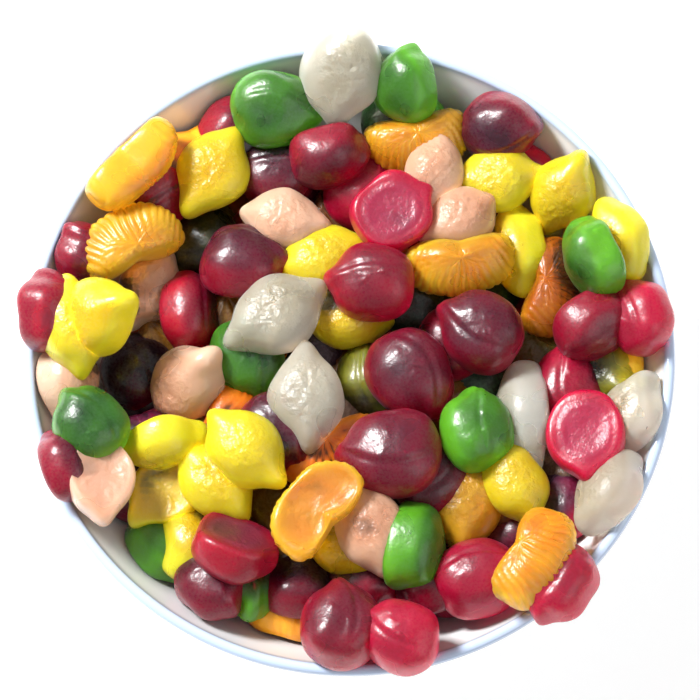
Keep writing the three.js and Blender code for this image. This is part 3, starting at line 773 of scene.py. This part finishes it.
def clear_of_wall(kind, turn, spot):
    """Moves a sweet towards the middle of the ball until it is clear of the bowl's wall."""
    rings, _ = form_rings(kind, 24, 6, BACK_RINGS)
    middle = np.array([0.0, 0.0, BALL_HEIGHT])
    reach = np.linalg.norm(rings.reshape(-1, 3) @ turn.T + spot - middle, axis=1).max()
    inward = (middle - spot) / np.linalg.norm(middle - spot)
    return spot + inward * max(reach + BEDDED_GAP - BALL_RADIUS, 0.0)


for k in range(BEDDED):
    radius = BEDDED_REACH * math.sqrt((k + 0.5) / BEDDED)
    angle = k * math.pi * (3 - math.sqrt(5)) + rng.uniform(-0.2, 0.2)
    spot = np.array([radius * math.cos(angle), radius * math.sin(angle), core_height(radius) - BEDDED_SINK])
    kind = (PLUM, LEMON, SEGMENT)[rng.integers(3)]
    colour = BEDDED_COLOURS[rng.integers(len(BEDDED_COLOURS))]
    turn = turn_of(1, 0, rng.uniform(0, 360), rng.uniform(-BEDDED_TURN, BEDDED_TURN), 0,
                   rng.uniform(-BEDDED_TILT, BEDDED_TILT))
    resting.append((kind, colour, turn, clear_of_wall(kind, turn, spot), DEEPEST + 1))
print(BEDDED, "bedded sweets")

# %% [markdown]
# ## Finishes: coloured gel
# Gummy gel lets light in, scatters it and lets it out coloured, so thin edges glow and thick middles are
# deep. One shader with scatter below the surface and some clear passage does part of that, and the rest is
# painted into the base colour: a painted glow along the rims and on the side away from the lamp, and
# painted shade in grooves and deep in the heap. Its colour wanders a little within each sweet and more from
# one sweet to the next, and the back is dusted with starch. Two glosses lie over each other, one sharper
# and one very broad, which is how a slightly frosted skin shines. Four values that the meshes carry steer
# it: tone, which holds the painted glow and shade, dusty, pitted, and lit, which is 0 deep in the heap.

# %% Gel colours
GELS = {
    # printed colour where thick, where thin, and of the frost; depth of scatter in mm; clear share
    "yellow": ((230, 184, 0), (255, 246, 36), (246, 234, 140), 2.5, 0.5),
    "clear": ((212, 200, 170), (254, 250, 236), (248, 245, 236), 3.0, 0.7),
    "peach": ((226, 160, 124), (255, 218, 186), (244, 214, 196), 2.5, 0.5),
    "orange": ((232, 138, 4), (255, 212, 44), (246, 196, 110), 2.5, 0.6),
    "amber": ((180, 86, 4), (244, 164, 26), (204, 140, 84), 2.5, 0.55),
    "purple": ((72, 0, 32), (172, 0, 44), (168, 120, 154), 2.0, 0.6),
    "wine": ((108, 0, 34), (206, 0, 46), (184, 100, 140), 2.0, 0.6),
    "crimson": ((160, 0, 44), (226, 0, 64), (226, 92, 146), 2.5, 0.55),
    "green": ((26, 84, 26), (112, 206, 34), (150, 200, 140), 2.5, 0.65),
    "olive": ((106, 106, 20), (206, 206, 40), (170, 172, 112), 2.5, 0.6),
}
FROST = 0.045  # thin even veil that every sweet has
SHADOW_SHARE = 0.4  # how dark the gel is where hardly any light gets to it
DRIFT_SHARE = 0.5  # how far the colour wanders within one sweet
DUST_COVER = 0.25
DRIFT_SCALE, SPECK_SCALE, GRAIN_SCALE = 110.0, 1500.0, 1000.0


def gel_colour(nodes, links, shader, colour, place, drift, dusty):
    """Deep to thin colour by the mesh's tone, which holds painted glow and painted shade, with a veil of
    dust over it.
    """
    deep, thin, dust, _, _ = GELS[colour]
    tone = add_node(nodes, "ShaderNodeAttribute", attribute_name="tone")
    mixed = add_node(nodes, "ShaderNodeMath", operation="MULTIPLY_ADD")
    links.new(drift.outputs["Fac"], mixed.inputs[0])
    mixed.inputs[1].default_value = DRIFT_SHARE
    links.new(tone.outputs["Fac"], mixed.inputs[2])
    # painted shade: the darkest colour, where the tone says hardly any light gets to the gel
    shadow = tuple(channel * SHADOW_SHARE for channel in deep)
    body = ramp(nodes, [(0.0, plain(shadow)), (0.12, plain(deep)), (0.75, plain(thin))])
    links.new(mixed.outputs["Value"], body.inputs["Fac"])
    specks = add_node(nodes, "ShaderNodeTexNoise", Scale=SPECK_SCALE, Detail=1.0)
    links.new(place.outputs["Object"], specks.inputs["Vector"])
    dusting = add_node(nodes, "ShaderNodeMapRange")
    dusting.inputs["From Min"].default_value = 0.35
    dusting.inputs["From Max"].default_value = 0.8
    dusting.inputs["To Max"].default_value = 2 * FROST
    links.new(specks.outputs["Fac"], dusting.inputs["Value"])
    cover = add_node(nodes, "ShaderNodeMath", operation="MULTIPLY_ADD")
    links.new(dusty.outputs["Fac"], cover.inputs[0])
    cover.inputs[1].default_value = DUST_COVER
    links.new(dusting.outputs["Result"], cover.inputs[2])
    dusted = add_node(nodes, "ShaderNodeMix", data_type="RGBA")
    links.new(cover.outputs["Value"], dusted.inputs["Factor"])
    links.new(body.outputs["Color"], dusted.inputs["A"])
    dusted.inputs["B"].default_value = (*plain(dust), 1.0)
    links.new(dusted.outputs["Result"], shader.inputs["Base Color"])


print(len(GELS), "gel colours")

# %% Gel skin: gloss and grain
GEL_GLOSS, DUST_GLOSS = (0.22, 0.36), 0.1
GRAIN, PITTED_GRAIN = 0.35, 1.2
BROAD_GLOSS, BROAD_ROUGHNESS = 0.26, 0.5
VELVET, VELVET_ROUGHNESS = 0.08, 0.3
GEL_IOR, GEL_SPECULAR = 1.42, 0.42


def gel_skin(nodes, links, shader, colour, place, drift, dusty):
    """How sharply it shines, and the fine grain that breaks the shine up."""
    gloss = add_node(nodes, "ShaderNodeMapRange")
    gloss.inputs["To Min"].default_value, gloss.inputs["To Max"].default_value = GEL_GLOSS
    links.new(drift.outputs["Fac"], gloss.inputs["Value"])
    rough = add_node(nodes, "ShaderNodeMath", operation="MULTIPLY_ADD")
    links.new(dusty.outputs["Fac"], rough.inputs[0])
    rough.inputs[1].default_value = DUST_GLOSS
    links.new(gloss.outputs["Result"], rough.inputs[2])
    links.new(rough.outputs["Value"], shader.inputs["Roughness"])
    grain = add_node(nodes, "ShaderNodeTexNoise", Scale=GRAIN_SCALE, Detail=2.0)
    links.new(place.outputs["Object"], grain.inputs["Vector"])
    pitted = add_node(nodes, "ShaderNodeAttribute", attribute_name="pitted")
    height = add_node(nodes, "ShaderNodeMath", operation="MULTIPLY_ADD")
    links.new(pitted.outputs["Fac"], height.inputs[0])
    height.inputs[1].default_value = PITTED_GRAIN
    height.inputs[2].default_value = GRAIN
    bumpy = add_node(nodes, "ShaderNodeMath", operation="MULTIPLY")
    links.new(grain.outputs["Fac"], bumpy.inputs[0])
    links.new(height.outputs["Value"], bumpy.inputs[1])
    relief = add_node(nodes, "ShaderNodeBump", Strength=0.6, Distance=0.0005)
    links.new(bumpy.outputs["Value"], relief.inputs["Height"])
    links.new(relief.outputs["Normal"], shader.inputs["Normal"])
    shader.inputs["Specular IOR Level"].default_value = GEL_SPECULAR
    shader.inputs["Sheen Weight"].default_value = VELVET
    shader.inputs["Sheen Roughness"].default_value = VELVET_ROUGHNESS
    shader.inputs["Coat Weight"].default_value = BROAD_GLOSS
    shader.inputs["Coat Roughness"].default_value = BROAD_ROUGHNESS
    shader.inputs["Sheen Tint"].default_value = (*plain(GELS[colour][2]), 1.0)
    shader.inputs["IOR"].default_value = GEL_IOR


print("gloss from", GEL_GLOSS[0], "to", GEL_GLOSS[1], "under a broad one of", BROAD_ROUGHNESS)

# %% Gel body: scatter and clear passage
SCATTER_SPREAD = (1.0, 0.7, 0.5)  # red light travels furthest in the gel


def gel_finish(colour):
    scatter, clear = GELS[colour][3:]
    finish, nodes, links, shader = new_finish(colour + "_gel")
    place = add_node(nodes, "ShaderNodeTexCoord")
    dusty = add_node(nodes, "ShaderNodeAttribute", attribute_name="dusty")
    drift = add_node(nodes, "ShaderNodeTexNoise", Scale=DRIFT_SCALE, Detail=1.0)
    links.new(place.outputs["Object"], drift.inputs["Vector"])
    gel_colour(nodes, links, shader, colour, place, drift, dusty)
    gel_skin(nodes, links, shader, colour, place, drift, dusty)
    shader.subsurface_method = "BURLEY"
    shader.inputs["Subsurface Weight"].default_value = 1.0
    shader.inputs["Subsurface Radius"].default_value = SCATTER_SPREAD
    shader.inputs["Subsurface Scale"].default_value = scatter * MM
    lit = add_node(nodes, "ShaderNodeAttribute", attribute_name="lit")
    passage = add_node(nodes, "ShaderNodeMapRange")
    passage.inputs["To Max"].default_value = clear
    links.new(lit.outputs["Fac"], passage.inputs["Value"])
    links.new(passage.outputs["Result"], shader.inputs["Transmission Weight"])
    return finish


finishes = {colour: gel_finish(colour) for colour in GELS}
print("finishes:", ", ".join(finish.name for finish in finishes.values()))

# %% Join the sweets of one kind and colour into one piece
def one_list(rings):
    """The rings as one list of points, with a single point at each end."""
    return np.concatenate([rings[:1, 0], rings[1:-1].reshape(-1, *rings.shape[2:]), rings[-1:, 0]])


def joined(name, group):
    points, faces, dusty, pitted, tone, lit = [], [], [], [], [], []
    start = 0
    for rings, dust, pits, light, near_top in group:
        count, around, _ = rings.shape
        points.append(one_list(rings))
        dusty.append(one_list(dust))
        pitted.append(one_list(pits))
        lit.append(one_list(near_top))
        tone.append(one_list(light))
        first = start + 1
        last = start + len(points[-1]) - 1
        for i in range(around):
            j = (i + 1) % around
            faces.append((start, first + i, first + j))
            for k in range(count - 3):
                a = first + k * around
                faces.append((a + i, a + around + i, a + around + j, a + j))
            faces.append((last, last - around + j, last - around + i))
        start += len(points[-1])
    mesh = bpy.data.meshes.new(name)
    mesh.from_pydata((np.concatenate(points) * MM).tolist(), [], faces)
    for label, values in (("dusty", dusty), ("pitted", pitted), ("tone", tone), ("lit", lit)):
        layer = mesh.attributes.new(label, "FLOAT", "POINT")
        layer.data.foreach_set("value", np.concatenate(values).astype(np.float32))
    mesh.update()
    mesh.shade_smooth()
    piece = bpy.data.objects.new(name, mesh)
    bpy.context.scene.collection.objects.link(piece)
    return piece


# %% Detail and names
# Points round each form, rings over its dome, and rings round its back.
VISIBLE_DETAIL = {LEMON: (104, 28, 14), PLUM: (104, 24, 16), SEGMENT: (220, 24, 14)}
DEEP_DETAIL = {LEMON: (40, 9, 6), PLUM: (40, 9, 6), SEGMENT: (72, 9, 6)}
NAMES = {LEMON: "lemons", PLUM: "plums", SEGMENT: "segments"}

# %% Painted glow and painted shade
# The colour is lighter where the gel is thin, and a glow is painted into it on the side away from the lamp,
# where light would come out again. Sweets deep under the ones around them get painted shade.
FROM_KEY = np.array([0.62, -0.62, -0.3])
THIN_SHARE = 0.5
# painted glow: how much lighter the side away from the lamp is painted
PAINTED_GLOW_SHARE = 0.55
LEAST_LIGHT = -0.08
OWN_TONE = (-0.1, 0.15)  # how much darker or lighter one sweet may be than another
# painted shade deep in the heap: how strong it is, and at what depth under the mean top it begins and is
# full
PAINTED_SHADE_SHARE = 0.6
SUNK = (1.0, 12.0)  # how far under the mean of the sweets around it gets dark, and is darkest
AROUND = 5  # squares of the ground to each side that count as around

heap_top = np.zeros_like(ground)
sweet_tops = np.maximum(ground, core_height(grid_radius))
for across in range(-AROUND, AROUND + 1):
    for away in range(-AROUND, AROUND + 1):
        heap_top += np.roll(sweet_tops, (across, away), (0, 1)) / (2 * AROUND + 1) ** 2
print("the mean top of the heap reaches", round(float(heap_top.max()), 1), "mm")

# %% Make every sweet
shape_rng = np.random.default_rng(5)
groups = {}
for kind, colour, turn, spot, under in resting:
    detail = VISIBLE_DETAIL if under < DEEPEST else DEEP_DETAIL
    rings, dusty, pitted, thin = make_form(kind, *detail[kind], shape_rng)
    placed = rings @ turn.T + spot
    # painted glow on the side that faces away from the lamp
    through = smooth_step(0.1, 1.0, outward(placed) @ FROM_KEY)
    # painted shade: darker the further a point lies under the mean top of the heap around it
    sunk = smooth_step(*SUNK, heap_top[ground_cells(placed[..., 0], placed[..., 1])] - placed[..., 2])
    light = shape_rng.uniform(*OWN_TONE) + THIN_SHARE * thin + PAINTED_GLOW_SHARE * through
    light = np.maximum(light, LEAST_LIGHT) - PAINTED_SHADE_SHARE * sunk
    near_top = np.full_like(light, 1.0 if under < DEEPEST else 0.0)
    groups.setdefault((kind, colour), []).append((placed, dusty, pitted, light, near_top))

sweets = []
for (kind, colour), group in sorted(groups.items()):
    piece = joined(colour + "_" + NAMES[kind], group)
    piece.data.materials.append(finishes[colour])
    sweets.append(piece)
    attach(piece, "root")
    triangles = sum(len(p.vertices) - 2 for p in piece.data.polygons)
    print(piece.name, len(group), "sweets,", triangles, "triangles")

# %% [markdown]
# ## The core
# Below the sweets that can be seen, the bowl is filled by one mass. It is turned from the same outline as
# the solid's core and takes painted shade: dark red-brown with amber patches, the colour of the shaded gaps
# between the sweets.

# %% Core
CORE_STEPS, CORE_SIDES = 24, 96
# painted shade: the colour of sweets in shade, dark red-brown and amber
CORE_PAINTED_SHADES = (96, 20, 14), (170, 76, 16)
core_edge = INNER_RADIUS
while bowl_height(core_edge) > core_height(core_edge):
    core_edge -= CORE_GAP
edge_angle = math.asin(core_edge / BALL_RADIUS)
core_outline = [on_ball(-CORE_GAP, edge_angle * step / CORE_STEPS) for step in range(CORE_STEPS + 1)]
for step in range(1, CORE_STEPS + 1):
    radius = core_edge * (1 - step / CORE_STEPS)
    core_outline.append((radius, float(core_height(radius))))
core_outline[0], core_outline[-1] = (0.0, core_outline[0][1]), (0.0, core_outline[-1][1])
core = bpy.data.objects.new("heap_core", turned_mesh("heap_core", core_outline, CORE_SIDES))
bpy.context.scene.collection.objects.link(core)
dark, nodes, links, shader = new_finish("core_painted_shade_gel")
place = add_node(nodes, "ShaderNodeTexCoord")
patches = add_node(nodes, "ShaderNodeTexNoise", Scale=70.0, Detail=3.0)
links.new(place.outputs["Object"], patches.inputs["Vector"])
shade = ramp(nodes, [(0.35, plain(CORE_PAINTED_SHADES[0])), (0.65, plain(CORE_PAINTED_SHADES[1]))])
links.new(patches.outputs["Fac"], shade.inputs["Fac"])
links.new(shade.outputs["Color"], shader.inputs["Base Color"])
lumps = add_node(nodes, "ShaderNodeBump", Strength=0.6, Distance=0.003)
links.new(patches.outputs["Fac"], lumps.inputs["Height"])
links.new(lumps.outputs["Normal"], shader.inputs["Normal"])
shader.inputs["Roughness"].default_value = 0.35
core.data.materials.append(dark)
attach(core, "root")
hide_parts("gummy_heap")
for piece in sweets:
    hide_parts("gummy_heap")
print("core to", round(core_edge, 1), "mm from the axis, under", len(sweets), "pieces of sweets")
